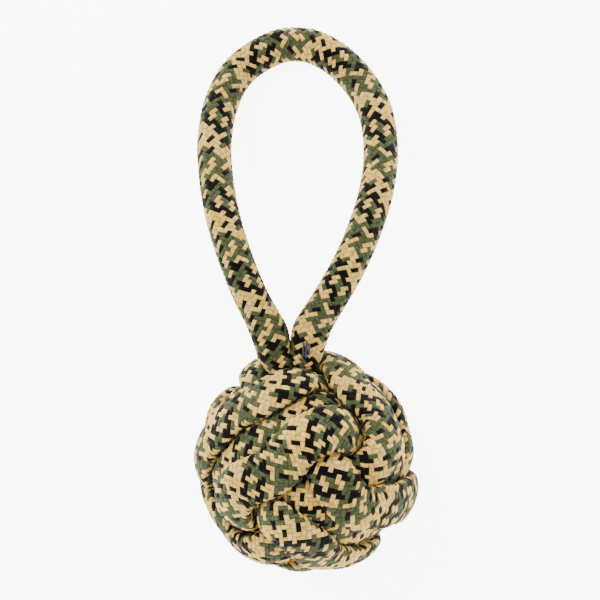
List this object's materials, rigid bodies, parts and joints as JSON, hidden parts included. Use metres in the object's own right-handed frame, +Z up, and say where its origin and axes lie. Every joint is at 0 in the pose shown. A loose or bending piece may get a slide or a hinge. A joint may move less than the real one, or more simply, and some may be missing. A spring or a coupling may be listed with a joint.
{
  "type": "rope fetch toy",
  "caption": "Rope fetch and tug toy for a dog: a monkey's-fist ball of braided rope round a solid core, with a rope loop handle sewn in.",
  "frame": {"origin": "centre of the bounding box's bottom face, on the floor that the toy lies on", "axes": "+Y runs from the ball to the loop's far end, +Z is up, +X completes a right-handed frame; the toy lies on its side"},
  "size_m": [0.0936, 0.2289, 0.0941],
  "materials": {
    "knot_rope": "braided cotton rope cover in tan, olive green and near black",
    "handle_rope": "the same braided rope, unpressed and round",
    "stitch_thread": "waxed navy sewing thread",
    "core_ball": "plain moulded rubber, hidden inside the knot"
  },
  "bodies": {
    "ball": {"core_ball": "core_ball", "knot_turn_1": "knot_rope", "knot_turn_2": "knot_rope", "knot_turn_3": "knot_rope", "knot_turn_4": "knot_rope", "knot_turn_5": "knot_rope", "knot_turn_6": "knot_rope", "knot_turn_7": "knot_rope", "knot_turn_8": "knot_rope", "knot_turn_9": "knot_rope", "handle_tail_left": "handle_rope", "handle_tail_right": "handle_rope", "stitch_thread": "stitch_thread"},
    "handle_legs": {"handle_leg_left": "handle_rope", "handle_leg_right": "handle_rope"},
    "handle_end": {"handle_loop": "handle_rope"}
  },
  "joints": [
    {"name": "neck_bend", "type": "hinge", "parent": "ball", "child": "handle_legs", "pos_m": [-0.007, -0.0103, 0.06375], "axis": [1, 0, 0], "range_deg": [-45, 100]},
    {"name": "loop_bend", "type": "hinge", "parent": "handle_legs", "child": "handle_end", "pos_m": [-0.004, 0.0407, 0.04739], "axis": [1, 0, 0], "range_deg": [-40, 60]}
  ]
}
